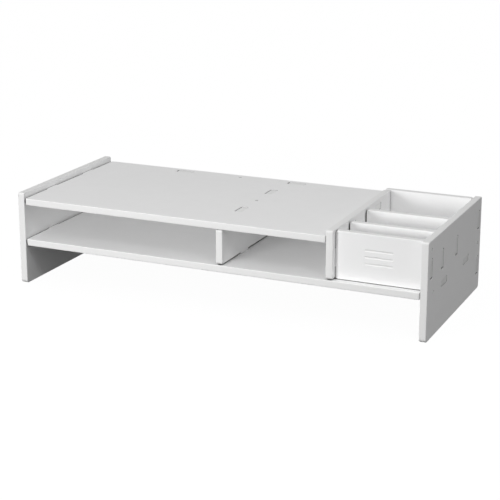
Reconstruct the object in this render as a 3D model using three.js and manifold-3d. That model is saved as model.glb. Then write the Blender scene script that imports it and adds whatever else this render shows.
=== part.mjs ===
// A desk riser for a monitor, with two open bays and an open-top pen box.
// Ten boards of one thickness are joined by tabs that pass through slots in their neighbours,
// and small nails pin the joints. Units are millimetres. X runs to the right, Y to the back
// and Z up. The origin is the middle of the footprint, on the desk.

import * as THREE from 'three';
import { mergeVertices } from 'three/addons/utils/BufferGeometryUtils.js';
import Module from 'manifold-3d';

const wasm = await Module();
wasm.setup();

// Driving dimensions of the riser

const boardThickness = 8;
const leftBayWidth = 248;
const rightBayWidth = 122;
const boxWidth = 98;
const overallDepth = 206;
const underShelfHeight = 47;
const bayHeight = 41.3;
const rimHeight = 6.2;
const backBoardInset = 7;
const backBoardFootGap = 5.4;

// Pen box, from its front panel to the back

const frontPanelRecess = 8;
const frontPenDepth = 32;
const middlePenDepth = 46;
const dividerDrop = 2;

// Board edges

const edgeRadius = 0.8;
const cornerRadius = 2.5;
const footCornerRadius = 4.5;
const edgeSteps = 2;
const cornerSteps = 2;
const slotCornerSteps = 1;

// Tab and slot joints. A tab ends just short of the outer face of the board that it passes.

const jointClearance = 0.3;
const tabLength = 21.5;
const tabLeadIn = 1.2;
const tabEndInset = 0.3;
const depthTabShares = [0.295, 0.707];
const widthTabShares = [0.3, 0.7];
const backEndTabShares = [0.24, 0.76];
const boxTabShares = [0.436];

// Nails

const nailLength = 20;
const nailShankRadius = 0.7;
const nailHeadRadius = 1.2;
const nailHeadHeight = 1;
const nailPointLength = 2;
const nailSink = 0.2;
const nailClearance = 0.3;
const nailSides = 10;
const frontNailInset = 22.3;

// A cutter runs this far past the face that it opens. Corners closer than the weld distance are one.

const cutOverrun = 1;
const weldDistance = 1e-4;

/** The place at a share of the way from one value to another. */
const between = (low, high, share) => low + (high - low) * share;
const middle = (low, high) => (low + high) / 2;

// Places from left to right

const overallWidth = 4 * boardThickness + leftBayWidth + rightBayWidth + boxWidth;
const outerLeft = -overallWidth / 2;
const outerRight = overallWidth / 2;
const innerLeft = outerLeft + boardThickness;
const innerRight = outerRight - boardThickness;
const dividerLeft = innerLeft + leftBayWidth;
const dividerRight = dividerLeft + boardThickness;
const wallLeft = dividerRight + rightBayWidth;
const wallRight = wallLeft + boardThickness;

// Places from front to back

const front = -overallDepth / 2;
const back = overallDepth / 2;
const backBoardBack = back - backBoardInset;
const backBoardFront = backBoardBack - boardThickness;
const frontPanelBack = front + frontPanelRecess + boardThickness;
const frontDividerBack = frontPanelBack + frontPenDepth + boardThickness;
const rearDividerBack = frontDividerBack + middlePenDepth + boardThickness;
const depthTabs = depthTabShares.map((share) => between(front, back, share));

// Heights over the desk

const shelfBottom = underShelfHeight;
const shelfTop = shelfBottom + boardThickness;
const topBottom = shelfTop + bayHeight;
const topTop = topBottom + boardThickness;
const rimTop = topTop + rimHeight;
const boxTabs = boxTabShares.map((share) => between(shelfTop, rimTop, share));

// How a board that is drawn flat stands in the riser: the axes that its width, its height and
// its thickness run along

const rightward = new THREE.Vector3(1, 0, 0);
const backward = new THREE.Vector3(0, 1, 0);
const upward = new THREE.Vector3(0, 0, 1);
const leftward = rightward.clone().negate();
const forward = backward.clone().negate();
const downward = upward.clone().negate();
const lyingFlat = [rightward, backward, upward];
const standingSideways = [backward, upward, rightward];
const facingForward = [rightward, upward, forward];

const boardMaterial = () => new THREE.MeshStandardMaterial({ color: 0xf1f1ef, roughness: 0.42, metalness: 0 });
const nailMaterial = () => new THREE.MeshStandardMaterial({ color: 0x8f8f8c, roughness: 0.4, metalness: 1 });

// Solids and cuts

/** A geometry with shared corners welded and the faces that collapse left out. */
function welded(geometry) {
  const bare = geometry.clone();
  bare.deleteAttribute('normal');
  bare.deleteAttribute('uv');
  const merged = mergeVertices(bare, weldDistance);
  const index = Array.from(merged.index.array);
  const kept = [];
  for (let at = 0; at < index.length; at += 3) {
    const [a, b, c] = index.slice(at, at + 3);
    if (a !== b && b !== c && c !== a) kept.push(a, b, c);
  }
  merged.setIndex(kept);
  return merged;
}

function toSolid(geometry) {
  const closed = welded(geometry);
  return new wasm.Manifold(new wasm.Mesh({
    numProp: 3,
    vertProperties: new Float32Array(closed.attributes.position.array),
    triVerts: new Uint32Array(closed.index.array),
  }));
}

function toGeometry(solid) {
  const mesh = solid.getMesh();
  const geometry = new THREE.BufferGeometry();
  geometry.setAttribute('position', new THREE.BufferAttribute(mesh.vertProperties, 3));
  geometry.setIndex(new THREE.BufferAttribute(mesh.triVerts, 1));
  const faceted = geometry.toNonIndexed();
  faceted.computeVertexNormals();
  return faceted;
}

// Outlines, drawn counter-clockwise

const corner = (x, y, radius = 0) => ({ point: new THREE.Vector2(x, y), radius });

/** A closed shape through the corners, each rounded by its own radius. */
function roundedShape(corners) {
  const shape = new THREE.Shape();
  corners.forEach(({ point, radius }, index) => {
    const coming = point.clone().sub(corners.at(index - 1).point).normalize();
    const going = corners[(index + 1) % corners.length].point.clone().sub(point).normalize();
    const start = point.clone().addScaledVector(coming, -radius);
    if (index === 0) shape.moveTo(start.x, start.y);
    else shape.lineTo(start.x, start.y);
    if (radius > 0) {
      const centre = start.clone().addScaledVector(going, radius);
      shape.absarc(centre.x, centre.y, radius, going.clone().negate().angle(), coming.angle(), false);
    }
  });
  shape.closePath();
  return shape;
}

/**
 * The tabs on one edge, which runs from start to end with the board on its left. Each has its
 * corners for the outline, and the place and direction in which it passes the neighbour.
 */
function edgeTabs(start, end, { centres, into }) {
  const along = end.clone().sub(start).normalize();
  const outward = new THREE.Vector2(along.y, -along.x);
  const reach = jointClearance + boardThickness - tabEndInset;
  const isLevel = Math.abs(along.x) > Math.abs(along.y);
  const feet = centres.map((centre) => (
    isLevel ? new THREE.Vector2(centre, start.y) : new THREE.Vector2(start.x, centre)
  ));
  feet.sort((one, other) => one.dot(along) - other.dot(along));
  return feet.map((foot) => {
    const at = (side, out) => {
      const point = foot.clone().addScaledVector(along, side).addScaledVector(outward, out);
      return corner(point.x, point.y);
    };
    const half = tabLength / 2;
    return {
      corners: [
        at(-half, 0),
        at(-half, reach - tabLeadIn),
        at(tabLeadIn - half, reach),
        at(half - tabLeadIn, reach),
        at(half, reach - tabLeadIn),
        at(half, 0),
      ],
      foot,
      along,
      outward,
      into,
    };
  });
}

/** The corners and tabs of an outline, given as corners and the tabs on the edge after each. */
function outline(edges) {
  const corners = [];
  const tabs = [];
  edges.forEach((edge, index) => {
    corners.push(edge.corner);
    if (!edge.tabs) return;
    const next = edges[(index + 1) % edges.length].corner;
    const found = edgeTabs(edge.corner.point, next.point, edge.tabs);
    corners.push(...found.flatMap((tab) => tab.corners));
    tabs.push(...found);
  });
  return { corners, tabs };
}

/** A rectangular outline with tabs on the edges that are named. */
function rectangle({ left, right, bottom, top, footRadius = cornerRadius, tabs = {} }) {
  return outline([
    { corner: corner(left, bottom, footRadius), tabs: tabs.bottom },
    { corner: corner(right, bottom, footRadius), tabs: tabs.right },
    { corner: corner(right, top, cornerRadius), tabs: tabs.top },
    { corner: corner(left, top, cornerRadius), tabs: tabs.left },
  ]);
}

// Boards

/** A board with softly rounded long edges, standing on the given axes with its first face at a place. */
function board(name, { corners, tabs }, axes, face) {
  const blank = new THREE.ExtrudeGeometry(roundedShape(corners), {
    depth: boardThickness - 2 * edgeRadius,
    bevelEnabled: true,
    bevelThickness: edgeRadius,
    bevelSize: edgeRadius,
    bevelOffset: -edgeRadius,
    bevelSegments: edgeSteps,
    curveSegments: cornerSteps,
  });
  blank.translate(0, 0, edgeRadius);
  const place = new THREE.Matrix4().makeBasis(...axes);
  place.setPosition(axes[2].clone().multiplyScalar(face));
  return { name, blank, tabs, place, cutters: [] };
}

/** The slot that a tab needs in its neighbour, in the riser's own frame. */
function slotCutter(owner, tab) {
  const halfLength = tabLength / 2 + jointClearance;
  const halfWidth = boardThickness / 2 + jointClearance;
  const radius = edgeRadius + jointClearance;
  const opening = roundedShape([
    corner(-halfLength, -halfWidth, radius),
    corner(halfLength, -halfWidth, radius),
    corner(halfLength, halfWidth, radius),
    corner(-halfLength, halfWidth, radius),
  ]);
  const cutter = new THREE.ExtrudeGeometry(opening, {
    depth: jointClearance + boardThickness + cutOverrun,
    bevelEnabled: false,
    curveSegments: slotCornerSteps,
  });
  const along = new THREE.Vector3(tab.along.x, tab.along.y, 0);
  const outward = new THREE.Vector3(tab.outward.x, tab.outward.y, 0);
  const onEdge = new THREE.Matrix4().makeBasis(along, upward, outward);
  onEdge.setPosition(tab.foot.x, tab.foot.y, boardThickness / 2);
  return cutter.applyMatrix4(onEdge).applyMatrix4(owner.place);
}

const sidePanel = rectangle({
  left: front, right: back, bottom: 0, top: rimTop, footRadius: footCornerRadius,
});

const topPanel = rectangle({
  left: innerLeft + jointClearance,
  right: wallLeft - jointClearance,
  bottom: front,
  top: back,
  tabs: {
    left: { centres: depthTabs, into: 'left_side_panel' },
    right: { centres: depthTabs, into: 'box_inner_wall' },
  },
});

const lowerShelf = rectangle({
  left: innerLeft + jointClearance,
  right: innerRight - jointClearance,
  bottom: front,
  top: backBoardFront - jointClearance,
  tabs: {
    left: { centres: depthTabs, into: 'left_side_panel' },
    right: { centres: depthTabs, into: 'right_side_panel' },
    top: { centres: widthTabShares.map((share) => between(innerLeft, innerRight, share)), into: 'back_board' },
  },
});

const middleDivider = rectangle({
  left: front,
  right: backBoardFront - jointClearance,
  bottom: shelfTop + jointClearance,
  top: topBottom - jointClearance,
  tabs: {
    bottom: { centres: depthTabs, into: 'lower_shelf' },
    top: { centres: depthTabs, into: 'top_panel' },
  },
});

const boxInnerWall = rectangle({
  left: front,
  right: backBoardFront - jointClearance,
  bottom: shelfTop + jointClearance,
  top: rimTop,
  tabs: { bottom: { centres: depthTabs, into: 'lower_shelf' } },
});

/** A board across the pen box, tabbed into the walls on both sides. */
const acrossBox = (top) => rectangle({
  left: wallRight + jointClearance,
  right: innerRight - jointClearance,
  bottom: shelfTop + jointClearance,
  top,
  tabs: {
    left: { centres: boxTabs, into: 'box_inner_wall' },
    right: { centres: boxTabs, into: 'right_side_panel' },
  },
});

// The back board closes the whole back. It steps up behind the pen box to the height of the rim.

const backBoardLow = topBottom - jointClearance;
const backEndTabs = (top) => backEndTabShares.map((share) => between(backBoardFootGap, top, share));
const backTopTabs = widthTabShares.map((share) => between(innerLeft, wallLeft, share));
const backBoard = outline([
  { corner: corner(innerLeft + jointClearance, backBoardFootGap, cornerRadius) },
  {
    corner: corner(innerRight - jointClearance, backBoardFootGap, cornerRadius),
    tabs: { centres: backEndTabs(rimTop), into: 'right_side_panel' },
  },
  { corner: corner(innerRight - jointClearance, rimTop, cornerRadius) },
  { corner: corner(wallLeft, rimTop, cornerRadius) },
  { corner: corner(wallLeft, backBoardLow), tabs: { centres: backTopTabs, into: 'top_panel' } },
  {
    corner: corner(innerLeft + jointClearance, backBoardLow, cornerRadius),
    tabs: { centres: backEndTabs(backBoardLow), into: 'left_side_panel' },
  },
]);

const dividerTop = rimTop - dividerDrop;
const boards = [
  board('left_side_panel', sidePanel, standingSideways, outerLeft),
  board('right_side_panel', sidePanel, standingSideways, innerRight),
  board('top_panel', topPanel, lyingFlat, topBottom),
  board('lower_shelf', lowerShelf, lyingFlat, shelfBottom),
  board('middle_divider', middleDivider, standingSideways, dividerLeft),
  board('box_inner_wall', boxInnerWall, standingSideways, wallLeft),
  board('box_front_panel', acrossBox(rimTop), facingForward, -frontPanelBack),
  board('box_front_divider', acrossBox(dividerTop), facingForward, -frontDividerBack),
  board('box_rear_divider', acrossBox(dividerTop), facingForward, -rearDividerBack),
  board('back_board', backBoard, facingForward, -backBoardBack),
];
const boardNamed = Object.fromEntries(boards.map((one) => [one.name, one]));

for (const owner of boards) {
  for (const tab of owner.tabs) boardNamed[tab.into].cutters.push(slotCutter(owner, tab));
}

// Nails

/** A solid turned about the nail's axis. The profile runs from the point up to the head. */
function turned(profile) {
  const points = profile.map(([radius, height]) => new THREE.Vector2(radius, height));
  return new THREE.LatheGeometry(points, nailSides);
}

const nailProfile = [
  [0, -nailLength],
  [nailShankRadius, nailPointLength - nailLength],
  [nailShankRadius, -nailHeadHeight],
  [nailHeadRadius, -nailHeadHeight],
  [nailHeadRadius, 0],
  [0, 0],
];

const boreRadius = nailShankRadius + nailClearance;
const boreHeadRadius = nailHeadRadius + nailClearance;
const boreHeadDepth = nailHeadHeight + nailClearance;
const boreProfile = [
  [0, -nailLength - nailClearance],
  [boreRadius, nailPointLength - nailLength - nailClearance],
  [boreRadius, -boreHeadDepth],
  [boreHeadRadius, -boreHeadDepth],
  [boreHeadRadius, nailSink + cutOverrun],
  [0, nailSink + cutOverrun],
];

const dividerMiddle = middle(dividerLeft, dividerRight);
const wallMiddle = middle(wallLeft, wallRight);
const depthMiddle = middle(front, back);
const backBoardMiddle = middle(backBoardFront, backBoardBack);
const shelfMiddle = middle(shelfBottom, shelfTop);
const frontPanelMiddle = frontPanelBack - boardThickness / 2;
const frontNails = front + frontNailInset;
const boxTabTop = Math.max(...boxTabs) + tabLength / 2;

/** A nail driven into a face at a point, through one board and into the edge of the next. */
const nail = (name, x, y, z, towards, through, into) => ({
  name, face: new THREE.Vector3(x, y, z), towards, pierced: [through, into],
});

const nails = [
  nail('nail_top_back', middle(innerLeft, wallLeft), backBoardMiddle, topTop,
    downward, 'top_panel', 'back_board'),
  nail('nail_top_divider', dividerMiddle, depthMiddle, topTop,
    downward, 'top_panel', 'middle_divider'),
  nail('nail_right_front_panel', outerRight, frontPanelMiddle, middle(boxTabTop, rimTop),
    leftward, 'right_side_panel', 'box_front_panel'),
  nail('nail_right_shelf', outerRight, frontNails, shelfMiddle,
    leftward, 'right_side_panel', 'lower_shelf'),
  nail('nail_right_back', outerRight, backBoardMiddle, middle(backBoardFootGap, rimTop),
    leftward, 'right_side_panel', 'back_board'),
  nail('nail_left_top', outerLeft, frontNails, middle(topBottom, topTop),
    rightward, 'left_side_panel', 'top_panel'),
  nail('nail_left_shelf', outerLeft, frontNails, shelfMiddle,
    rightward, 'left_side_panel', 'lower_shelf'),
  nail('nail_left_back', outerLeft, backBoardMiddle, middle(backBoardFootGap, backBoardLow),
    rightward, 'left_side_panel', 'back_board'),
  nail('nail_under_divider', dividerMiddle, depthMiddle, shelfBottom,
    upward, 'lower_shelf', 'middle_divider'),
  nail('nail_under_wall', wallMiddle, frontNails, shelfBottom,
    upward, 'lower_shelf', 'box_inner_wall'),
  nail('nail_under_front_panel', middle(wallRight, innerRight), frontPanelMiddle, shelfBottom,
    upward, 'lower_shelf', 'box_front_panel'),
  nail('nail_rear_shelf', middle(innerLeft, innerRight), backBoardBack, shelfMiddle,
    forward, 'back_board', 'lower_shelf'),
  nail('nail_rear_divider', dividerMiddle, backBoardBack, middle(shelfTop, topBottom),
    forward, 'back_board', 'middle_divider'),
  nail('nail_rear_wall', wallMiddle, backBoardBack, middle(shelfTop, rimTop),
    forward, 'back_board', 'box_inner_wall'),
];

/** Turns and moves something drawn about the nail's axis to where the nail is driven. */
function drive(target, { face, towards }) {
  const outward = towards.clone().negate();
  target.quaternion.setFromUnitVectors(backward, outward);
  target.position.copy(face).addScaledVector(towards, nailSink);
  target.updateMatrix();
  return target;
}

for (const one of nails) {
  const { matrix } = drive(new THREE.Object3D(), one);
  for (const name of one.pierced) boardNamed[name].cutters.push(turned(boreProfile).applyMatrix4(matrix));
}

// Assembly

function boardMesh({ name, blank, place, cutters }) {
  const toBoard = place.clone().invert();
  let solid = toSolid(blank);
  for (const cutter of cutters) solid = solid.subtract(toSolid(cutter.applyMatrix4(toBoard)));
  const mesh = new THREE.Mesh(toGeometry(solid), boardMaterial());
  mesh.name = name;
  place.decompose(mesh.position, mesh.quaternion, mesh.scale);
  return mesh;
}

function nailMesh(one) {
  const mesh = new THREE.Mesh(turned(nailProfile), nailMaterial());
  mesh.name = one.name;
  return drive(mesh, one);
}

const riser = new THREE.Group();
riser.add(new THREE.Group().add(...boards.map(boardMesh)));
riser.add(new THREE.Group().add(...nails.map(nailMesh)));

export default riser;
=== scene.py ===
"""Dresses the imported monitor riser: ten white foam boards, their nails, and a plain stage.

Each piece stands where its node of the frame stands. Lengths are in metres. X runs to the right,
Y to the back and Z up, and the origin is on the floor in the middle of the footprint.
"""

import math

import bmesh
import bpy
from bpy.props import FloatProperty, FloatVectorProperty, IntProperty, PointerProperty
from bpy.types import Operator, Panel, PropertyGroup
from mathutils import Matrix, Vector


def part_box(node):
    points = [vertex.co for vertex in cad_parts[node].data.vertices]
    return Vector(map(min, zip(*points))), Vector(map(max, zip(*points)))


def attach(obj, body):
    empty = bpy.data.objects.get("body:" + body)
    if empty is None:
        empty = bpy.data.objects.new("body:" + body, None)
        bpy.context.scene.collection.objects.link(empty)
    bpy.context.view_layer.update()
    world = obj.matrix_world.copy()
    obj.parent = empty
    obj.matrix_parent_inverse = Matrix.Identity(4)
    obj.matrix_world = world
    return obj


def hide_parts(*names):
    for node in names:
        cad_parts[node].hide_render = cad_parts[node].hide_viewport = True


bl_info = {
    "name": "Monitor Riser",
    "version": (1, 0, 0),
    "blender": (4, 5, 0),
    "location": "View3D > Sidebar > Riser",
    "description": "Builds a flat-pack monitor riser with a pen box, and a stage for it",
    "category": "Add Mesh",
}

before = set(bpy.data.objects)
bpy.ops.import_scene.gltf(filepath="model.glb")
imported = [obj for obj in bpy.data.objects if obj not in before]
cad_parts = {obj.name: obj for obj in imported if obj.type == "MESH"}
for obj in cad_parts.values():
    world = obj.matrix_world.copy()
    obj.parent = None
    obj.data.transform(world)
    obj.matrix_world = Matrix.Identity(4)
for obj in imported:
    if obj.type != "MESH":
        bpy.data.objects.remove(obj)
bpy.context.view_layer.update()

BODY = "root"

# How near two places or values count as the same, the profile of a round bevel, and the shares of
# a way that count as along it and across it

NEAR = 1e-6
TOUCHING = 1e-5
ROUND = 0.5
ALONG, ACROSS = 0.9, 0.1

# Up to which angle faces count as one flat face, and from which an edge is shaded sharp

FLAT_ANGLE = math.radians(1)
BOARD_SHARP_ANGLE = math.radians(40)
NAIL_SHARP_ANGLE = math.radians(50)

# Axes of the frame, and how a board that is drawn flat stands in it: the axes that its width,
# its height and its thickness run along

RIGHTWARD = Vector((1, 0, 0))
BACKWARD = Vector((0, 1, 0))
UPWARD = Vector((0, 0, 1))
LYING = (RIGHTWARD, BACKWARD, UPWARD)
SIDEWAYS = (BACKWARD, UPWARD, RIGHTWARD)
FACING = (RIGHTWARD, UPWARD, -BACKWARD)

# The ways in which the joints have their slack: left, back and down

SLACK = Vector((-1, 1, -1))

# The side of a drawn board that a tab stands on: the ways that point outwards and along it

TAB_SIDES = {
    "left": (-RIGHTWARD, BACKWARD),
    "right": (RIGHTWARD, BACKWARD),
    "bottom": (-BACKWARD, RIGHTWARD),
    "top": (BACKWARD, RIGHTWARD),
}

# Each nail: the way that it is driven, the board that it passes and the board that it ends in

NAILS = {
    "nail_top_back": (-UPWARD, "top_panel", "back_board"),
    "nail_top_divider": (-UPWARD, "top_panel", "middle_divider"),
    "nail_right_front_panel": (-RIGHTWARD, "right_side_panel", "box_front_panel"),
    "nail_right_shelf": (-RIGHTWARD, "right_side_panel", "lower_shelf"),
    "nail_right_back": (-RIGHTWARD, "right_side_panel", "back_board"),
    "nail_left_top": (RIGHTWARD, "left_side_panel", "top_panel"),
    "nail_left_shelf": (RIGHTWARD, "left_side_panel", "lower_shelf"),
    "nail_left_back": (RIGHTWARD, "left_side_panel", "back_board"),
    "nail_under_divider": (UPWARD, "lower_shelf", "middle_divider"),
    "nail_under_wall": (UPWARD, "lower_shelf", "box_inner_wall"),
    "nail_under_front_panel": (UPWARD, "lower_shelf", "box_front_panel"),
    "nail_rear_shelf": (-BACKWARD, "back_board", "lower_shelf"),
    "nail_rear_divider": (-BACKWARD, "back_board", "middle_divider"),
    "nail_rear_wall": (-BACKWARD, "back_board", "box_inner_wall"),
}


def span(node, axis):
    """Where a node of the frame begins and ends along X (0), Y (1) or Z (2)."""
    low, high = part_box(node)
    return low[axis], high[axis]


def between(low, high, share):
    return low + (high - low) * share


# Places that the boards share, read from the frame

OUTER_LEFT, INNER_LEFT = span("left_side_panel", 0)
INNER_RIGHT, OUTER_RIGHT = span("right_side_panel", 0)
FRONT, BACK = span("left_side_panel", 1)
RIM_TOP = span("left_side_panel", 2)[1]
SHELF_BOTTOM, SHELF_TOP = span("lower_shelf", 2)
TOP_BOTTOM, TOP_TOP = span("top_panel", 2)
DIVIDER_LEFT, DIVIDER_RIGHT = span("middle_divider", 0)
WALL_LEFT, WALL_RIGHT = span("box_inner_wall", 0)
BACK_BOARD_FRONT, BACK_BOARD_BACK = span("back_board", 1)
BACK_BOARD_FOOT = span("back_board", 2)[0]
PEN_DIVIDER_TOP = span("box_front_divider", 2)[1]


# What a user would change


def length(name, description, default):
    return FloatProperty(
        name=name,
        description=description,
        default=default,
        min=0,
        precision=5,
        subtype="DISTANCE",
        unit="LENGTH",
    )


def several(name, description, default, **kinds):
    return FloatVectorProperty(
        name=name, description=description, default=default, size=len(default), **kinds
    )


def lengths(name, description, default):
    return several(name, description, default, min=0, subtype="XYZ_LENGTH", unit="LENGTH")


def shares(name, description, default):
    return several(name, description, default, min=0, max=1)


def colour(name, description, default):
    return several(name, description, default, min=0, max=1, subtype="COLOR")


def position(name, description, default):
    return several(name, description, default, subtype="TRANSLATION", unit="LENGTH")


def count(name, description, default, least=1):
    return IntProperty(name=name, description=description, default=default, min=least)


def level(name, description, default, most=1.0):
    return FloatProperty(name=name, description=description, default=default, min=0, max=most)


class RiserBoardSizes(PropertyGroup):
    """Sizes of the boards and of the joints between them."""

    thickness: length("Thickness", "Thickness of every board", INNER_LEFT - OUTER_LEFT)
    edge_radius: length("Edge radius", "Rounding of a board's long edges", 0.001)
    corner_radius: length("Corner radius", "Rounding of a board's corners", 0.0025)
    foot_radius: length("Foot radius", "Rounding of a side panel's two bottom corners", 0.0045)
    joint_gap: length("Joint gap", "Room between a board and the face that it meets", 0.0003)
    tight_gap: length("Tight gap", "Room at both ends of the front of the pen box", 0.00015)
    slack_gap: length("Slack gap", "Room at the left, rear or bottom end of a board", 0.0014)
    tab_length: length("Tab length", "Length of a tab along its edge", 0.0215)
    tab_lead_in: length("Tab lead-in", "Chamfer at the two end corners of a tab", 0.0012)
    tab_inset: length("Tab inset", "How far a tab ends below its neighbour's outer face", 0.0002)
    slot_fit: length("Slot fit", "Room between a tab and its slot where the tab bears", 0.00015)
    end_play: lengths(
        "End play", "Room at a slot's left, rear or bottom end", (0.001, 0.0004, 0.001)
    )
    side_play: lengths(
        "Side play", "Room at a slot's left, rear or bottom side", (0.0006, 0.00015, 0.00015)
    )
    slot_corner: length("Slot corner", "Rounding of a slot's corners", 0.0006)
    slot_rim: length("Slot rim", "Chamfer round the mouth of a slot", 0.0002)
    front_drop: length("Front drop", "How far the front of the pen box ends below the rim", 0.0012)
    depth_tabs: shares("Depth tabs", "Places of the tabs from front to back", (0.295, 0.707))
    width_tabs: shares("Width tabs", "Places of the tabs from left to right", (0.3, 0.7))
    end_tabs: shares("Back board tabs", "Places of the tabs up the back board's ends", (0.24, 0.76))
    box_tab: level("Box tab", "Place of the tab up the ends of the boards across the box", 0.436)
    edge_steps: count("Edge steps", "Faces across a rounded edge", 3)
    corner_steps: count("Corner steps", "Faces round a corner", 6)


class RiserGrooveSizes(PropertyGroup):
    """Sizes of the three plain grooves in the front of the pen box."""

    run: length("Groove length", "Length of each groove", 0.032)
    width: length("Groove width", "Width of each groove at the face", 0.0026)
    depth: length("Groove depth", "Depth of each groove", 0.0007)
    pitch: length("Groove spacing", "Distance from one groove to the next", 0.0075)
    height: length("Groove height", "Height of the middle groove over the floor", 0.0838)
    steps: count("Groove steps", "Faces round half a groove", 12, least=4)


class RiserNailSizes(PropertyGroup):
    """Sizes of the nails and of the bores that they sit in."""

    head_radius: length("Head radius", "Radius of a nail's head", 0.0012)
    head_height: length("Head height", "Height of a nail's head", 0.0006)
    head_rim: length("Head rim", "Rounding of a nail's head", 0.00015)
    neck_height: length("Neck height", "Taper from the head down to the shank", 0.0004)
    shank_radius: length("Shank radius", "Radius of a nail's shank", 0.0007)
    point_length: length("Point length", "Length of a nail's point", 0.002)
    clearance: length("Bore clearance", "Room round a nail in its bore", 0.0005)
    dish_radius: length("Dish radius", "Radius of the shallow dish round a nail's head", 0.0021)
    dish_depth: length("Dish depth", "Depth of the shallow dish round a nail's head", 0.0002)
    overrun: length("Cut overrun", "How far a cutter runs past the face that it opens", 0.001)
    steps: count("Nail steps", "Faces round a nail", 24, least=6)


class RiserFinish(PropertyGroup):
    """Colours and surface qualities."""

    board_colour: colour("Board", "Skin of the foam board", (0.95, 0.95, 0.95))
    core_colour: colour("Core", "Foam core where a board is cut", (0.9, 0.9, 0.895))
    board_roughness: level("Board roughness", "Roughness of the skin", 0.55)
    core_share: level("Core share", "Share of the thickness that is core", 0.9)
    # Painted shade: the boards are darkened towards the joint colour in narrow joints and slits
    # that an ambient occlusion node finds, and partly on the walls of slots and bores
    joint_shade_colour: colour("Joint", "Dull raw foam deep in the joints", (0.16, 0.16, 0.158))
    joint_reach: length("Joint reach", "How far off a facing surface still dulls a board", 0.004)
    slot_wall_shade: level("Raw walls", "How dull the walls of slots and bores are", 0.36)
    steel_colour: colour("Steel", "Nail heads", (0.07, 0.07, 0.068))
    steel_roughness: level("Steel roughness", "Roughness of the nail heads", 0.34)
    floor_colour: colour("Floor", "Colour of the floor", (0.05, 0.05, 0.05))


class RiserStage(PropertyGroup):
    """The light, the floor and the camera."""

    even_level: level("Even light", "Level of the light from all round", 0.275, 10)
    front_level: level("Front light", "Level of the wide soft light from the front", 0.29, 10)
    top_level: level("Top light", "Level of the wide soft light from above", 0.36, 10)
    key_power: level("Key power", "Power of the soft lamp in front, in watts", 4.25, 1000)
    key_place: position("Key place", "Where the soft lamp stands", (-0.2, -0.95, 0.24))
    side_power: level("Side power", "Power of the soft lamp at the right, in watts", 1.0, 1000)
    side_place: position("Side place", "Where the lamp at the right stands", (0.7, -0.6, 0.75))
    lamp_size: length("Lamp size", "Width and height of the soft lamps", 0.2)
    floor_lift: level("Floor lift", "Light that whitens the floor where it is seen", 0.97)
    floor_width: length("Floor width", "Width of the floor", 24.0)
    camera_place: position("Camera place", "Where the camera stands", (0.6533, -1.4528, 0.532))
    camera_aim: position("Camera aim", "What the camera points at", (0.0015, 0.0, 0.09184))
    camera_lens: FloatProperty(
        name="Camera lens",
        description="Focal length of the camera",
        default=101.948,
        subtype="DISTANCE_CAMERA",
    )
    camera_shift: FloatProperty(
        name="Camera shift", description="Vertical shift of the camera", default=-0.08
    )


# Sheets that are drawn flat and then given their thickness


def rectangle(bm, low, high):
    """A flat rectangle from its lower left corner to its upper right one."""
    corners = bmesh.ops.create_grid(bm, x_segments=1, y_segments=1, size=0.5)["verts"]
    bmesh.ops.scale(bm, verts=corners, vec=(high[0] - low[0], high[1] - low[1], 1))
    bmesh.ops.translate(bm, verts=corners, vec=((low[0] + high[0]) / 2, (low[1] + high[1]) / 2, 0))


def cut_across(bm, place, way):
    """Cuts the whole sheet along a straight line, which a direction crosses at a place."""
    everything = bm.verts[:] + bm.edges[:] + bm.faces[:]
    bmesh.ops.bisect_plane(bm, geom=everything, dist=NEAR, plane_co=place, plane_no=way)


def push_out_tab(bm, side, foot, gap, sizes):
    """Cuts the sheet at both sides of a tab, and pushes the edge between the cuts outwards."""
    outward, along = TAB_SIDES[side]
    half = sizes.tab_length / 2
    cut_across(bm, foot - along * half, along)
    cut_across(bm, foot + along * half, along)

    def is_at_foot(vertex):
        away = vertex.co - foot
        return abs(away.dot(outward)) < NEAR and abs(away.dot(along)) < half + NEAR

    root = [edge for edge in bm.edges if edge.is_boundary and all(map(is_at_foot, edge.verts))]
    pushed = bmesh.ops.extrude_edge_only(bm, edges=root)["geom"]
    ends = [part for part in pushed if isinstance(part, bmesh.types.BMVert)]
    reach = gap + sizes.thickness - sizes.tab_inset
    bmesh.ops.translate(bm, verts=ends, vec=outward * reach)
    return ends


def tab_feet(low, high, side, centres):
    """The middle of each tab's root on one side of a rectangle."""
    x = {"left": low[0], "right": high[0]}.get(side)
    y = {"bottom": low[1], "top": high[1]}.get(side)
    return [Vector((x, centre, 0)) if y is None else Vector((centre, y, 0)) for centre in centres]


def near_points(bm, points):
    """The vertices that stand at the given places."""
    return [v for v in bm.verts if any((v.co - Vector((*p, 0))).length < TOUCHING for p in points)]


def clear_cuts(bm):
    """Takes out the lines that the cuts left in the flat sheet."""
    bmesh.ops.dissolve_limit(
        bm,
        angle_limit=FLAT_ANGLE,
        use_dissolve_boundaries=False,
        verts=bm.verts[:],
        edges=bm.edges[:],
    )


def kept(corners):
    """The corners that clearing the cuts has left."""
    return [corner for corner in corners if corner.is_valid]


def round_off(bm, parts, radius, steps, affect):
    """Rounds corners ("VERTICES") or edges ("EDGES")."""
    bmesh.ops.bevel(
        bm,
        geom=parts,
        offset=radius,
        segments=steps,
        profile=ROUND,
        affect=affect,
        material=-1,
    )


def thicken(bm, sizes):
    """Gives the sheet its thickness and softens its long edges."""
    made = bmesh.ops.extrude_face_region(bm, geom=bm.faces[:])["geom"]
    risen = [part for part in made if isinstance(part, bmesh.types.BMVert)]
    bmesh.ops.translate(bm, verts=risen, vec=(0, 0, sizes.thickness))
    bmesh.ops.recalc_face_normals(bm, faces=bm.faces[:])
    rims = [edge for edge in bm.edges if abs(edge.verts[0].co.z - edge.verts[1].co.z) < NEAR]
    round_off(bm, rims, sizes.edge_radius, sizes.edge_steps, "EDGES")


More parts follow.
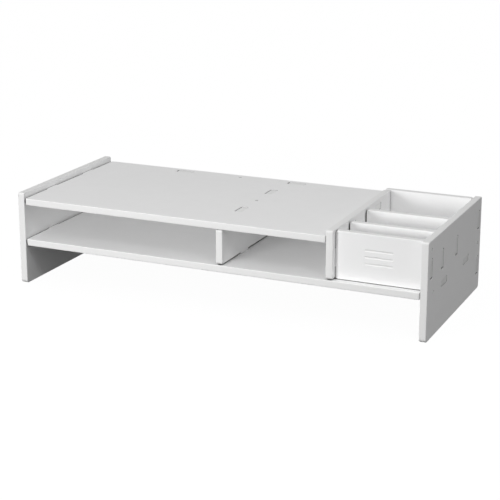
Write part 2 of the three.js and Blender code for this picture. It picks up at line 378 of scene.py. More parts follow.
class Board:
    """A board that is drawn flat: its sheet, its tabs, and how it stands in the riser."""

    def __init__(self, low, high, axes, face, tabs=None, foot_radius=None, tight=False):
        self.low, self.high = low, high
        self.tab_high = high
        self.axes, self.face = axes, face
        self.tabs = tabs or {}
        self.foot_radius, self.tight = foot_radius, tight

    def place(self):
        """Turns and moves what is drawn flat to where it stands."""
        turn = Matrix(self.axes).transposed().to_4x4()
        return Matrix.Translation(self.axes[2] * self.face) @ turn

    def feet(self):
        """Each tab's side of the drawn board, and the middle of its root."""
        return [
            (side, foot)
            for side, centres in self.tabs.items()
            for foot in tab_feet(self.low, self.tab_high, side, centres)
        ]

    def gap(self, side, sizes):
        """The room between a side with tabs and the board that they pass into."""
        if self.tight:
            return sizes.tight_gap
        outward = self.place().to_3x3() @ TAB_SIDES[side][0]
        return sizes.slack_gap if outward.dot(SLACK) > 0 else sizes.joint_gap

    def push_out_tabs(self, bm, sizes):
        """Makes all the tabs, and returns the corners of their ends."""
        return [
            corner
            for side, foot in self.feet()
            for corner in push_out_tab(bm, side, foot, self.gap(side, sizes), sizes)
        ]

    def draw(self, bm, sizes):
        """Draws the sheet with its tabs and rounds its corners."""
        (left, bottom), (right, top) = self.low, self.high
        rectangle(bm, self.low, self.high)
        ends = self.push_out_tabs(bm, sizes)
        clear_cuts(bm)
        if ends:
            round_off(bm, kept(ends), sizes.tab_lead_in, 1, "VERTICES")
        foot_radius = self.foot_radius or sizes.corner_radius
        for height, radius in ((bottom, foot_radius), (top, sizes.corner_radius)):
            corners = near_points(bm, [(left, height), (right, height)])
            round_off(bm, corners, radius, sizes.corner_steps, "VERTICES")


class SteppedBoard(Board):
    """The back board, whose top steps up behind the pen box."""

    def __init__(self, low, high, axes, face, step, low_top, tabs):
        super().__init__(low, high, axes, face, tabs)
        self.step, self.low_top = step, low_top
        self.tab_high = (high[0], low_top)

    def draw(self, bm, sizes):
        (left, bottom), (right, top) = self.low, self.high
        rectangle(bm, self.low, self.high)
        cut_across(bm, Vector((self.step, 0, 0)), RIGHTWARD)
        cut_across(bm, Vector((0, self.low_top, 0)), BACKWARD)

        def is_spare(face):
            middle = face.calc_center_median()
            return middle.x < self.step and middle.y > self.low_top

        bmesh.ops.delete(bm, geom=list(filter(is_spare, bm.faces)), context="FACES")
        ends = self.push_out_tabs(bm, sizes)
        clear_cuts(bm)
        round_off(bm, kept(ends), sizes.tab_lead_in, 1, "VERTICES")
        foot = [(left, bottom), (right, bottom)]
        crown = [(right, top), (self.step, top), (left, self.low_top)]
        corners = near_points(bm, foot + crown)
        round_off(bm, corners, sizes.corner_radius, sizes.corner_steps, "VERTICES")


def board_plans(sizes):
    """Every board of the riser, by the name of its node in the frame."""
    gap, slack, tight = sizes.joint_gap, sizes.slack_gap, sizes.tight_gap
    depth = [between(FRONT, BACK, share) for share in sizes.depth_tabs]
    rim = [between(SHELF_TOP, RIM_TOP, sizes.box_tab)]
    low_top = TOP_BOTTOM - gap
    front_top = RIM_TOP - sizes.front_drop

    def back_ends(top):
        return [between(BACK_BOARD_FOOT, top, share) for share in sizes.end_tabs]

    def side_panel(face):
        return Board((FRONT, 0), (BACK, RIM_TOP), SIDEWAYS, face, foot_radius=sizes.foot_radius)

    def across_box(node, top, left_gap, right_gap, is_tight=False):
        return Board(
            (WALL_RIGHT + left_gap, SHELF_TOP + gap),
            (INNER_RIGHT - right_gap, top),
            FACING,
            -span(node, 1)[1],
            {"left": rim, "right": rim},
            tight=is_tight,
        )

    return {
        "left_side_panel": side_panel(OUTER_LEFT),
        "right_side_panel": side_panel(INNER_RIGHT),
        "top_panel": Board(
            (INNER_LEFT + slack, FRONT),
            (WALL_LEFT - gap, BACK),
            LYING,
            TOP_BOTTOM,
            {"left": depth, "right": depth},
        ),
        "lower_shelf": Board(
            (INNER_LEFT + slack, FRONT),
            (INNER_RIGHT - gap, BACK_BOARD_FRONT - slack),
            LYING,
            SHELF_BOTTOM,
            {
                "left": depth,
                "right": depth,
                "top": [between(INNER_LEFT, INNER_RIGHT, share) for share in sizes.width_tabs],
            },
        ),
        "middle_divider": Board(
            (FRONT, SHELF_TOP + slack),
            (BACK_BOARD_FRONT - slack, TOP_BOTTOM - gap),
            SIDEWAYS,
            DIVIDER_LEFT,
            {"bottom": depth, "top": depth},
        ),
        "box_inner_wall": Board(
            (FRONT, SHELF_TOP + slack),
            (BACK_BOARD_FRONT - slack, RIM_TOP),
            SIDEWAYS,
            WALL_LEFT,
            {"bottom": depth},
        ),
        "box_front_panel": across_box("box_front_panel", front_top, tight, tight, is_tight=True),
        "box_front_divider": across_box("box_front_divider", PEN_DIVIDER_TOP, slack, gap),
        "box_rear_divider": across_box("box_rear_divider", PEN_DIVIDER_TOP, slack, gap),
        "back_board": SteppedBoard(
            (INNER_LEFT + slack, BACK_BOARD_FOOT),
            (INNER_RIGHT - gap, RIM_TOP),
            FACING,
            -BACK_BOARD_BACK,
            WALL_LEFT,
            low_top,
            {
                "top": [between(INNER_LEFT, WALL_LEFT, share) for share in sizes.width_tabs],
                "left": back_ends(low_top),
                "right": back_ends(RIM_TOP),
            },
        ),
    }


# The board that each side's tabs pass into

PASSES_INTO = {
    "top_panel": {"left": "left_side_panel", "right": "box_inner_wall"},
    "lower_shelf": {"left": "left_side_panel", "right": "right_side_panel", "top": "back_board"},
    "middle_divider": {"bottom": "lower_shelf", "top": "top_panel"},
    "box_inner_wall": {"bottom": "lower_shelf"},
    "box_front_panel": {"left": "box_inner_wall", "right": "right_side_panel"},
    "box_front_divider": {"left": "box_inner_wall", "right": "right_side_panel"},
    "box_rear_divider": {"left": "box_inner_wall", "right": "right_side_panel"},
    "back_board": {"left": "left_side_panel", "right": "right_side_panel", "top": "top_panel"},
}


# Cutters


def grow_end(bm, face, rise, wider):
    """Extrudes an end face of a cutter outwards, and makes it wider all round."""
    way = face.normal.copy()
    middle = face.calc_center_median()
    made = bmesh.ops.extrude_discrete_faces(bm, faces=[face])["faces"]
    bmesh.ops.translate(bm, verts=made[0].verts[:], vec=way * rise)
    if wider:
        grown = []
        for axis in range(3):
            reach = max(abs((v.co - middle)[axis]) for v in made[0].verts)
            grown.append(1 if abs(way[axis]) > ALONG else 1 + wider / reach)
        bmesh.ops.scale(bm, verts=made[0].verts[:], vec=grown, space=Matrix.Translation(-middle))
    return made[0]


def add_slot_cutter(bm, board, side, foot, sizes, overrun):
    """A cutter for the slot that a tab needs, chamfered at both mouths.

    The tabs bear on the right, front and top of their slots, and the slots' play is opposite.
    """
    outward, along = TAB_SIDES[side]
    turn = board.place().to_3x3()
    thickness, rim, fit = sizes.thickness, sizes.slot_rim, sizes.slot_fit
    middle = foot + outward * (board.gap(side, sizes) + thickness / 2) + UPWARD * thickness / 2
    room = []
    for axis, plays in ((along, sizes.end_play), (UPWARD, sizes.side_play)):
        in_place = turn @ axis
        play = abs(in_place.dot(plays))
        middle = middle + axis * math.copysign((play - fit) / 2, in_place.dot(SLACK))
        room.append(play + fit)
    own = bmesh.new()
    bmesh.ops.create_cube(own, size=1)
    box = (sizes.tab_length + room[0], thickness + room[1], thickness - 2 * rim)
    bmesh.ops.scale(own, verts=own.verts[:], vec=box)
    upright = [edge for edge in own.edges if abs(edge.verts[0].co.z - edge.verts[1].co.z) > NEAR]
    round_off(own, upright, sizes.slot_corner, sizes.edge_steps, "EDGES")
    own.normal_update()
    for face in [f for f in own.faces if abs(f.normal.z) > ALONG]:
        grow_end(own, grow_end(own, face, rim, rim), overrun, 0)
    own.normal_update()
    for face in own.faces:
        face.material_index = abs(face.normal.z) < ACROSS
    bmesh.ops.recalc_face_normals(own, faces=own.faces[:])
    stand = Matrix((UPWARD.cross(outward), UPWARD, outward)).transposed().to_4x4()
    own.transform(board.place() @ Matrix.Translation(middle) @ stand)
    add_bmesh(bm, own)


def add_bmesh(bm, own):
    """Moves what one bmesh holds into another."""
    passing = bpy.data.meshes.new("passing")
    own.to_mesh(passing)
    own.free()
    bm.from_mesh(passing)
    bpy.data.meshes.remove(passing)


def turned(profile, steps):
    """A solid turned about Z from a line of radii and heights."""
    bm = bmesh.new()
    line = [bm.verts.new((radius, 0, height)) for radius, height in profile]
    edges = [bm.edges.new(pair) for pair in zip(line, line[1:])]
    bmesh.ops.spin(
        bm,
        geom=line + edges,
        cent=(0, 0, 0),
        axis=UPWARD,
        angle=math.tau,
        steps=steps,
        use_merge=True,
    )
    bmesh.ops.remove_doubles(bm, verts=bm.verts[:], dist=NEAR)
    bmesh.ops.recalc_face_normals(bm, faces=bm.faces[:])
    return bm


def nail_place(node):
    """Where a nail's head ends, with Z pointing out of the board that it passes, and its length."""
    inward = NAILS[node][0]
    low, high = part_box(node)
    half = abs((high - low).dot(inward)) / 2
    turn = UPWARD.rotation_difference(-inward).to_matrix().to_4x4()
    return Matrix.Translation((low + high) / 2 - inward * half) @ turn, 2 * half


def nail_sink(node):
    """How far a nail's head lies below the face that it is driven into."""
    inward, passed = NAILS[node][0], NAILS[node][1]
    low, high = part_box(node)
    board_low, board_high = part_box(passed)
    if sum(inward) > 0:
        return (low - board_low).dot(inward)
    return (board_high - high).dot(-inward)


def add_bore_cutter(bm, node, sizes):
    """A cutter for the bore that a nail sits in, with the shallow dish round its head."""
    place, whole = nail_place(node)
    free = sizes.clearance
    sink = nail_sink(node)
    head = sizes.head_radius + free
    bore = sizes.shank_radius + free
    own = turned(
        [
            (0, -whole - free),
            (bore, sizes.point_length - whole - free),
            (bore, -sizes.head_height - sizes.neck_height - free),
            (head, -sizes.head_height - free),
            (head, sink - sizes.dish_depth),
            (sizes.dish_radius, sink),
            (sizes.dish_radius, sink + sizes.overrun),
            (0, sink + sizes.overrun),
        ],
        sizes.steps,
    )
    for face in own.faces:
        face.material_index = 1
    own.transform(place)
    add_bmesh(bm, own)


def add_groove_cutter(bm, height, grooves, face):
    """A round-nosed cutter for one groove with round ends in the front of the pen box."""
    half_width, depth = grooves.width / 2, grooves.depth
    radius = (half_width**2 + depth**2) / (2 * depth)
    own = bmesh.new()
    around, upwards = 4 * grooves.steps, 2 * grooves.steps
    bmesh.ops.create_uvsphere(own, u_segments=around, v_segments=upwards, radius=radius)
    half_run = grooves.run / 2 - half_width
    cut_across(own, Vector((0, 0, 0)), RIGHTWARD)
    for way in (-1, 1):
        ends = [v for v in own.verts if v.co.x * way > NEAR]
        bmesh.ops.translate(own, verts=ends, vec=(way * half_run, 0, 0))
    bmesh.ops.recalc_face_normals(own, faces=own.faces[:])
    middle = (WALL_RIGHT + INNER_RIGHT) / 2
    bmesh.ops.translate(own, verts=own.verts[:], vec=(middle, face - radius + depth, height))
    add_bmesh(bm, own)


# From a bmesh to a finished piece

FACE_AREA_WEIGHT = 100


def to_object(bm, name):
    mesh = bpy.data.meshes.new(name)
    bm.to_mesh(mesh)
    bm.free()
    piece = bpy.data.objects.new(name, mesh)
    bpy.context.scene.collection.objects.link(piece)
    return piece


def settle(piece):
    """Replaces the piece's mesh by what its modifiers make of it."""
    graph = bpy.context.evaluated_depsgraph_get()
    made = bpy.data.meshes.new_from_object(
        piece.evaluated_get(graph), preserve_all_data_layers=True, depsgraph=graph
    )
    plain = piece.data
    piece.modifiers.clear()
    piece.data = made
    bpy.data.meshes.remove(plain)
    made.name = piece.name


def cut(piece, cutter_bm):
    """Takes the cutters out of the piece."""
    cutter = to_object(cutter_bm, "cutter")
    for mesh in (piece.data, cutter.data):
        mesh.materials.append(None)
        mesh.materials.append(None)
    knife = piece.modifiers.new("Cut", "BOOLEAN")
    knife.operation = "DIFFERENCE"
    knife.solver = "EXACT"
    knife.object = cutter
    settle(piece)
    spent = cutter.data
    bpy.data.objects.remove(cutter)
    bpy.data.meshes.remove(spent)


def soften(piece, sharp_angle):
    """Shades the rounded edges smoothly and keeps the flat faces flat."""
    piece.data.polygons.foreach_set("use_smooth", [True] * len(piece.data.polygons))
    piece.data.set_sharp_from_angle(angle=sharp_angle)
    weigh = piece.modifiers.new("Weigh", "WEIGHTED_NORMAL")
    weigh.mode = "FACE_AREA"
    weigh.weight = FACE_AREA_WEIGHT
    weigh.keep_sharp = True
    settle(piece)


def mark_layers(piece, board, sizes):
    """Writes to each vertex where it lies: 0 half-way through the board, -1 and 1 at its skins."""
    thickness_axis = board.axes[2]
    half = sizes.thickness / 2
    layer = piece.data.attributes.new("layer", "FLOAT", "POINT")
    away = [(v.co.dot(thickness_axis) - board.face - half) / half for v in piece.data.vertices]
    layer.data.foreach_set("value", away)


def mark_slots(piece):
    """Writes to each face whether it is a wall of a slot or a bore, and leaves one material."""
    walls = [float(face.material_index) for face in piece.data.polygons]
    piece.data.attributes.new("slot_wall", "FLOAT", "FACE").data.foreach_set("value", walls)
    piece.data.polygons.foreach_set("material_index", [0] * len(walls))


def finish_piece(piece, material, node):
    piece.data.materials.clear()
    piece.data.materials.append(material)
    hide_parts(node)
    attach(piece, BODY)


def make_board(node, name, extra_cutters=None):
    """Draws a board, cuts its slots and bores, and puts it in the place of its node."""
    settings = bpy.context.scene.riser
    sizes, nails = settings.boards, settings.nails
    plans = board_plans(sizes)
    board = plans[node]
    bm = bmesh.new()
    board.draw(bm, sizes)
    thicken(bm, sizes)
    bm.transform(board.place())
    piece = to_object(bm, name)
    cutters = bmesh.new()
    for owner, passes in PASSES_INTO.items():
        for side, foot in plans[owner].feet():
            if passes[side] == node:
                add_slot_cutter(cutters, plans[owner], side, foot, sizes, nails.overrun)
    for nail, (_, passed, ended) in NAILS.items():
        if node in (passed, ended):
            add_bore_cutter(cutters, nail, nails)
    if extra_cutters:
        extra_cutters(cutters)
    cut(piece, cutters)
    soften(piece, BOARD_SHARP_ANGLE)
    mark_layers(piece, board, sizes)
    mark_slots(piece)
    finish_piece(piece, board_material(), node)
    return piece


# Materials

# Fine grain: how much its cells add to its height, and between which distances from a cell's
# middle a pit lies

CELL_RELIEF = 0.35
PIT_BRIM, PIT_MIDDLE = 0.28, 0.05

# Cut edges: how far the border of the foam wanders, how wide it blends, where the rubbed strip
# lies (0 half-way through the board, 1 at its skin), and how much the saw's streaks add to the
# height of the pores

CORE_WANDER = 0.05
CORE_BLEND = (-0.02, 0.03)
RUB_INNER, RUB_OUTER = (0.8, 0.92), (0.9999, 0.985)
RUB_PATCHES = (0.45, 0.65)
STREAK_RELIEF = 0.6

# Foam board: the patches of its skin and how far they are lighter and darker, its pits, its foam
# core, its rubbed edges, how these change its roughness and its height, and how high its bumps are

SKIN_PATCHES, SKIN_DRIFT = (0.3, 0.7), 0.01
PIT_SHARE, PIT_SHADE = 0.25, 0.95
CORE_PATCHES, CORE_SHADE, CORE_TINT = (0.3, 0.9), 0.97, 1.01
RUB_SHARE, RUB_TINT = 0.4, 1.03
SKIN_ROUGHNESS_DRIFT, CORE_ROUGHER, RUB_SMOOTHER = 0.12, 0.16, -0.08
PORE_RELIEF = 2.0
BOARD_BUMP = 0.00002

# How closed in a joint is where painted shade begins and where the shade is full, as shares of
# the open sky that an ambient occlusion node leaves

JOINT_BEGINS, JOINT_DEEP = 0.56, 0.12

# Nail steel: the patches of its tone and how dark and light they are, its grime, how far its
# roughness drifts, and how high its bumps are

STEEL_PATCHES, STEEL_SHADE, STEEL_TINT = (0.35, 0.65), 0.8, 1.15
GRIME_SHARE, GRIME_SHADE = 0.6, 0.45
STEEL_ROUGHNESS_DRIFT = 0.3
STEEL_BUMP = 0.00001

# How far the floor's tone drifts

FLOOR_DRIFT = 0.005


def add_node(tree, kind, values=None, **links):
    """Adds a node, sets its properties and sockets, and links sockets to what feeds them.

    Names that start with an upper-case letter or a number are sockets, and the others properties.
    Underscores in a linked socket's name stand for spaces.
    """
    node = tree.nodes.new(kind)
    for name, value in (values or {}).items():
        if name[0].isupper() or name[0].isdigit():
            node.inputs[int(name) if name.isdigit() else name].default_value = value
        else:
            setattr(node, name, value)
    for name, source in links.items():
        label = name.replace("_", " ").strip()
        tree.links.new(source, node.inputs[int(label) if label.isdigit() else label])
    return node


def math_node(tree, operation, first, second=None, third=None, clamp=False):
    """A Math node on values or on the sockets that feed it."""
    node = tree.nodes.new("ShaderNodeMath")
    node.operation = operation
    node.use_clamp = clamp
    for index, value in enumerate((first, second, third)):
        if isinstance(value, bpy.types.NodeSocket):
            tree.links.new(value, node.inputs[index])
        elif value is not None:
            node.inputs[index].default_value = value
    return node.outputs[0]


def noise(tree, place, scale, detail=2.0, roughness=0.5):
    node = add_node(
        tree,
        "ShaderNodeTexNoise",
        {"Scale": scale, "Detail": detail, "Roughness": roughness},
        Vector=place,
    )
    return node.outputs["Fac"]


def ramp(tree, source, low, high, out_low=0.0, out_high=1.0):
    """Maps a range of a value smoothly to another range."""
    node = add_node(
        tree,
        "ShaderNodeMapRange",
        {
            "interpolation_type": "SMOOTHSTEP",
            "From Min": low,
            "From Max": high,
            "To Min": out_low,
            "To Max": out_high,
        },
        Value=source,
    )
    return node.outputs["Result"]


def mix_colours(tree, share, first, second):
    """Mixes two colours by a share. Each is a socket or a plain colour."""
    node = tree.nodes.new("ShaderNodeMix")
    node.data_type = "RGBA"
    tree.links.new(share, node.inputs["Factor"])
    for index, value in ((6, first), (7, second)):
        if isinstance(value, bpy.types.NodeSocket):
            tree.links.new(value, node.inputs[index])
        else:
            node.inputs[index].default_value = (*value, 1)
    return node.outputs[2]


def new_group(name, inputs, outputs):
    """A shader node group with its sockets, and the nodes that stand for them inside it."""
    group = bpy.data.node_groups.new(name, "ShaderNodeTree")
    new_socket = group.interface.new_socket
    for label, value in inputs.items():
        new_socket(label, in_out="INPUT", socket_type="NodeSocketFloat").default_value = value
    for label in outputs:
        new_socket(label, in_out="OUTPUT", socket_type="NodeSocketFloat")
    given = group.nodes.new("NodeGroupInput").outputs
    return group, given, group.nodes.new("NodeGroupOutput").inputs


def use_group(tree, group, values):
    node = tree.nodes.new("ShaderNodeGroup")
    node.node_tree = group
    for label, value in values.items():
        node.inputs[label].default_value = value
    return node.outputs


def fine_grain_group():
    """Fine grain of a skin or of worked metal: its height, and a mask of its darker pits."""
    name = "Fine Grain"
    if name in bpy.data.node_groups:
        return bpy.data.node_groups[name]
    group, given, result = new_group(name, {"Scale": 900.0, "Detail": 3.0}, ("Height", "Pits"))
    place = group.nodes.new("ShaderNodeTexCoord").outputs["Object"]
    grain = add_node(
        group,
        "ShaderNodeTexNoise",
        {"Roughness": 0.6},
        Vector=place,
        Scale=given["Scale"],
        Detail=given["Detail"],
    )
    cells = add_node(
        group,
        "ShaderNodeTexVoronoi",
        {"feature": "SMOOTH_F1", "Smoothness": 0.6},
        Vector=place,
        Scale=given["Scale"],
    ).outputs["Distance"]
    height = math_node(group, "MULTIPLY_ADD", cells, CELL_RELIEF, grain.outputs["Fac"])
    group.links.new(height, result["Height"])
    group.links.new(ramp(group, cells, PIT_BRIM, PIT_MIDDLE), result["Pits"])
    return group


def mottle_group():
    """Slow unevenness over a surface, as a value about one half."""
    name = "Mottle"
    if name in bpy.data.node_groups:
        return bpy.data.node_groups[name]
    group, given, result = new_group(name, {"Broad": 9.0, "Close": 70.0}, ("Value",))
    place = group.nodes.new("ShaderNodeTexCoord").outputs["Object"]
    broad, close = (
        add_node(group, "ShaderNodeTexNoise", {"Detail": detail}, Vector=place, Scale=given[label])
        for label, detail in (("Broad", 1.0), ("Close", 3.0))
    )
    both = math_node(group, "ADD", broad.outputs["Fac"], close.outputs["Fac"])
    group.links.new(math_node(group, "MULTIPLY", both, 0.5), result["Value"])
    return group


def cut_edge_group():
    """Where a board is cut: masks of its foam core and its rubbed arris, and its pores' height."""
    name = "Cut Edge"
    if name in bpy.data.node_groups:
        return bpy.data.node_groups[name]
    values = {"Core Share": 0.9, "Pore Scale": 2600.0}
    group, given, result = new_group(name, values, ("Core", "Arris", "Height"))
    place = group.nodes.new("ShaderNodeTexCoord").outputs["Object"]
    layer = add_node(group, "ShaderNodeAttribute", {"attribute_name": "layer"}).outputs["Fac"]
    depth = math_node(group, "ABSOLUTE", layer)
    border = noise(group, place, scale=260.0)
    wander = math_node(group, "MULTIPLY_ADD", border, CORE_WANDER, -CORE_WANDER / 2)
    wavering = math_node(group, "ADD", depth, wander)
    past_skin = math_node(group, "SUBTRACT", given["Core Share"], wavering)
    group.links.new(ramp(group, past_skin, *CORE_BLEND), result["Core"])
    near_arris = ramp(group, depth, *RUB_INNER)
    off_skin = ramp(group, depth, *RUB_OUTER)
    strip = math_node(group, "MULTIPLY", near_arris, off_skin)
    patches = ramp(group, noise(group, place, scale=120.0, detail=4.0), *RUB_PATCHES)
    group.links.new(math_node(group, "MULTIPLY", strip, patches), result["Arris"])
    pores = add_node(
        group, "ShaderNodeTexVoronoi", {"feature": "F1"}, Vector=place, Scale=given["Pore Scale"]
    ).outputs["Distance"]
    streaks = noise(group, place, scale=700.0)
    relief = math_node(group, "MULTIPLY_ADD", streaks, STREAK_RELIEF, pores)
    group.links.new(relief, result["Height"])
    return group


def new_material(name):
    material = bpy.data.materials.new(name)
    material.use_nodes = True
    material.node_tree.nodes.clear()
    return material, material.node_tree


def coat(tree, values, tone, rough, height, bump_height):
    """Ends a material with its tone, its roughness and its bumps."""
    shape = {"Strength": 0.5, "Distance": bump_height}
    bump = add_node(tree, "ShaderNodeBump", shape, Height=height)
    shader = add_node(
        tree,
        "ShaderNodeBsdfPrincipled",
        values,
        Base_Color=tone,
        Roughness=rough,
        Normal=bump.outputs["Normal"],
    )
    add_node(tree, "ShaderNodeOutputMaterial", Surface=shader.outputs["BSDF"])


def paint_joint_shade(tree, tone, finish):
    """Paints shade into a tone deep in the joints, from an ambient occlusion node, and on the walls
    of slots and bores, but not where a foot meets the floor.
    """
    open_sky = add_node(
        tree, "ShaderNodeAmbientOcclusion", {"samples": 8, "Distance": finish.joint_reach}
    ).outputs["AO"]
    slot_wall = add_node(tree, "ShaderNodeAttribute", {"attribute_name": "slot_wall"})
    slot_wall_shade = math_node(tree, "MULTIPLY", slot_wall.outputs["Fac"], finish.slot_wall_shade)
    closed_in = ramp(tree, open_sky, JOINT_BEGINS, JOINT_DEEP)
    painted_shade = math_node(tree, "MAXIMUM", closed_in, slot_wall_shade)
    place = tree.nodes.new("ShaderNodeTexCoord").outputs["Object"]
    over_floor = add_node(tree, "ShaderNodeSeparateXYZ", Vector=place).outputs["Z"]
    off_floor = ramp(tree, over_floor, 0.0, finish.joint_reach)
    painted_shade = math_node(tree, "MULTIPLY", painted_shade, off_floor)
    return mix_colours(tree, painted_shade, tone, Vector(finish.joint_shade_colour))


def board_material():
    """White foam board: a satin skin with a fine grain, a duller foam core at the cuts, and painted
    shade in the joints.
    """
    name = "white_foam_board"
    if name in bpy.data.materials:
        return bpy.data.materials[name]
    finish = bpy.context.scene.riser.finish
    material, tree = new_material(name)
    skin = use_group(tree, fine_grain_group(), {"Scale": 1100.0, "Detail": 3.0})
    mottle = use_group(tree, mottle_group(), {"Broad": 8.0, "Close": 60.0})
    edge = use_group(tree, cut_edge_group(), {"Core Share": finish.core_share})
    white, core = Vector(finish.board_colour), Vector(finish.core_colour)
    patches = ramp(tree, mottle["Value"], *SKIN_PATCHES)
    tone = mix_colours(tree, patches, white * (1 - SKIN_DRIFT), white * (1 + SKIN_DRIFT))
    pits = math_node(tree, "MULTIPLY", skin["Pits"], PIT_SHARE)
    tone = mix_colours(tree, pits, tone, white * PIT_SHADE)
    pores = ramp(tree, edge["Height"], *CORE_PATCHES)
    core_tone = mix_colours(tree, pores, core * CORE_SHADE, core * CORE_TINT)
    tone = mix_colours(tree, edge["Core"], tone, core_tone)
    rubbed = math_node(tree, "MULTIPLY", edge["Arris"], RUB_SHARE)
    tone = mix_colours(tree, rubbed, tone, white * RUB_TINT)
    # Painted shade deep in the joints and on the walls of slots and bores
    tone = paint_joint_shade(tree, tone, finish)

    smooth = finish.board_roughness - SKIN_ROUGHNESS_DRIFT / 2
    rough = math_node(tree, "MULTIPLY_ADD", mottle["Value"], SKIN_ROUGHNESS_DRIFT, smooth)
    rough = math_node(tree, "MULTIPLY_ADD", edge["Core"], CORE_ROUGHER, rough)
    rough = math_node(tree, "MULTIPLY_ADD", edge["Arris"], RUB_SMOOTHER, rough)

    is_skin = math_node(tree, "SUBTRACT", 1.0, edge["Core"])
    height = math_node(tree, "MULTIPLY", skin["Height"], is_skin)
    pore_height = math_node(tree, "MULTIPLY", edge["Height"], edge["Core"])
    height = math_node(tree, "MULTIPLY_ADD", pore_height, PORE_RELIEF, height)
    coat(tree, {"IOR": 1.47, "Specular IOR Level": 0.08}, tone, rough, height, BOARD_BUMP)
    return material


def steel_material():
    """Dull bright steel of a wire nail, with a fine grain and a little grime in it."""
    name = "nail_steel"
    if name in bpy.data.materials:
        return bpy.data.materials[name]
    finish = bpy.context.scene.riser.finish
    material, tree = new_material(name)
    grain = use_group(tree, fine_grain_group(), {"Scale": 5200.0, "Detail": 4.0})
    mottle = use_group(tree, mottle_group(), {"Broad": 300.0, "Close": 1500.0})
    steel = Vector(finish.steel_colour)
    patches = ramp(tree, mottle["Value"], *STEEL_PATCHES)
    tone = mix_colours(tree, patches, steel * STEEL_SHADE, steel * STEEL_TINT)
    grime = math_node(tree, "MULTIPLY", grain["Pits"], GRIME_SHARE)
    tone = mix_colours(tree, grime, tone, steel * GRIME_SHADE)
    smooth = finish.steel_roughness - STEEL_ROUGHNESS_DRIFT / 2
    rough = math_node(tree, "MULTIPLY_ADD", mottle["Value"], STEEL_ROUGHNESS_DRIFT, smooth)
    coat(tree, {"Metallic": 1.0}, tone, rough, grain["Height"], STEEL_BUMP)
    return material


def one_sided(tree, way, side, strength):
    """Light that comes from one side, strongest straight from there and none from behind."""
    facing = add_node(tree, "ShaderNodeVectorMath", {"operation": "DOT_PRODUCT", "1": side}, _0=way)
    ahead = math_node(tree, "MAXIMUM", facing.outputs["Value"], 0.0)
    return math_node(tree, "MULTIPLY", ahead, strength)


def seen_directly(tree):
    """1 for what the camera sees directly, in a reflection or through a clear thing."""
    path = tree.nodes.new("ShaderNodeLightPath").outputs
    seen = math_node(tree, "MAXIMUM", path["Is Camera Ray"], path["Is Glossy Ray"])
    return math_node(tree, "MAXIMUM", seen, path["Is Transmission Ray"])


def floor_material():
    """A matt floor that throws little light back, lifted to white where seen, clear from below."""
    settings = bpy.context.scene.riser
    material, tree = new_material("pale_floor")
    mottle = use_group(tree, mottle_group(), {"Broad": 3.0, "Close": 40.0})
    pale = Vector(settings.finish.floor_colour)
    tone = mix_colours(tree, mottle["Value"], pale * (1 - FLOOR_DRIFT), pale * (1 + FLOOR_DRIFT))
    matt = add_node(tree, "ShaderNodeBsdfDiffuse", Color=tone)
    lift = add_node(
        tree,
        "ShaderNodeEmission",
        {"Color": (1, 1, 1, 1)},
        Strength=math_node(tree, "MULTIPLY", seen_directly(tree), settings.stage.floor_lift),
    )
    lit = tree.nodes.new("ShaderNodeAddShader")
    tree.links.new(matt.outputs[0], lit.inputs[0])
    tree.links.new(lift.outputs[0], lit.inputs[1])
    clear = tree.nodes.new("ShaderNodeBsdfTransparent")
    sides = tree.nodes.new("ShaderNodeMixShader")
    tree.links.new(tree.nodes.new("ShaderNodeNewGeometry").outputs["Backfacing"], sides.inputs[0])
    tree.links.new(lit.outputs[0], sides.inputs[1])
    tree.links.new(clear.outputs[0], sides.inputs[2])
    add_node(tree, "ShaderNodeOutputMaterial", Surface=sides.outputs[0])
    return material


# The riser's operators

# How far down its rounding a nail's rim has come half-way in, as a share of the rounding

RIM_BULGE = 0.3

# The bays are lit mostly by what the white boards throw back, so light is followed for longer

LIGHT_BOUNCES, MATT_BOUNCES = 16, 12

# How near to the camera something is still seen

NEAREST_SEEN = 0.05


class BuildsPiece:
    """What the operators share."""

    bl_options = {"REGISTER", "UNDO"}


class RISER_OT_side_panels(BuildsPiece, Operator):
    """Build the two side panels that the riser stands on"""

    bl_idname = "riser.side_panels"
    bl_label = "Side Panels"

    def execute(self, context):
        make_board("left_side_panel", "left_side_board")
        make_board("right_side_panel", "right_side_board")
        return {"FINISHED"}


class RISER_OT_top_panel(BuildsPiece, Operator):
    """Build the long top that the monitor stands on"""

    bl_idname = "riser.top_panel"
    bl_label = "Top Panel"

    def execute(self, context):
        make_board("top_panel", "top_board")
        return {"FINISHED"}


class RISER_OT_lower_shelf(BuildsPiece, Operator):
    """Build the shelf under the two bays and the pen box"""

    bl_idname = "riser.lower_shelf"
    bl_label = "Lower Shelf"

    def execute(self, context):
        make_board("lower_shelf", "shelf_board")
        return {"FINISHED"}


class RISER_OT_middle_divider(BuildsPiece, Operator):
    """Build the board between the two bays"""

    bl_idname = "riser.middle_divider"
    bl_label = "Middle Divider"

    def execute(self, context):
        make_board("middle_divider", "bay_divider_board")
        return {"FINISHED"}


class RISER_OT_box_wall(BuildsPiece, Operator):
    """Build the wall between the right bay and the pen box"""

    bl_idname = "riser.box_wall"
    bl_label = "Pen Box Wall"

    def execute(self, context):
        make_board("box_inner_wall", "box_wall_board")
        return {"FINISHED"}


class RISER_OT_box_front(BuildsPiece, Operator):
    """Build the front of the pen box, with three plain grooves"""

    bl_idname = "riser.box_front"
    bl_label = "Pen Box Front"

    def execute(self, context):
        grooves = context.scene.riser.grooves
        face = span("box_front_panel", 1)[0]

        def add_grooves(cutters):
            for step in (-1, 0, 1):
                add_groove_cutter(cutters, grooves.height + step * grooves.pitch, grooves, face)

        make_board("box_front_panel", "box_front_board", add_grooves)
        return {"FINISHED"}


class RISER_OT_box_dividers(BuildsPiece, Operator):
    """Build the two boards that part the pen box"""

    bl_idname = "riser.box_dividers"
    bl_label = "Pen Box Dividers"

    def execute(self, context):
        make_board("box_front_divider", "front_pen_board")
        make_board("box_rear_divider", "rear_pen_board")
        return {"FINISHED"}


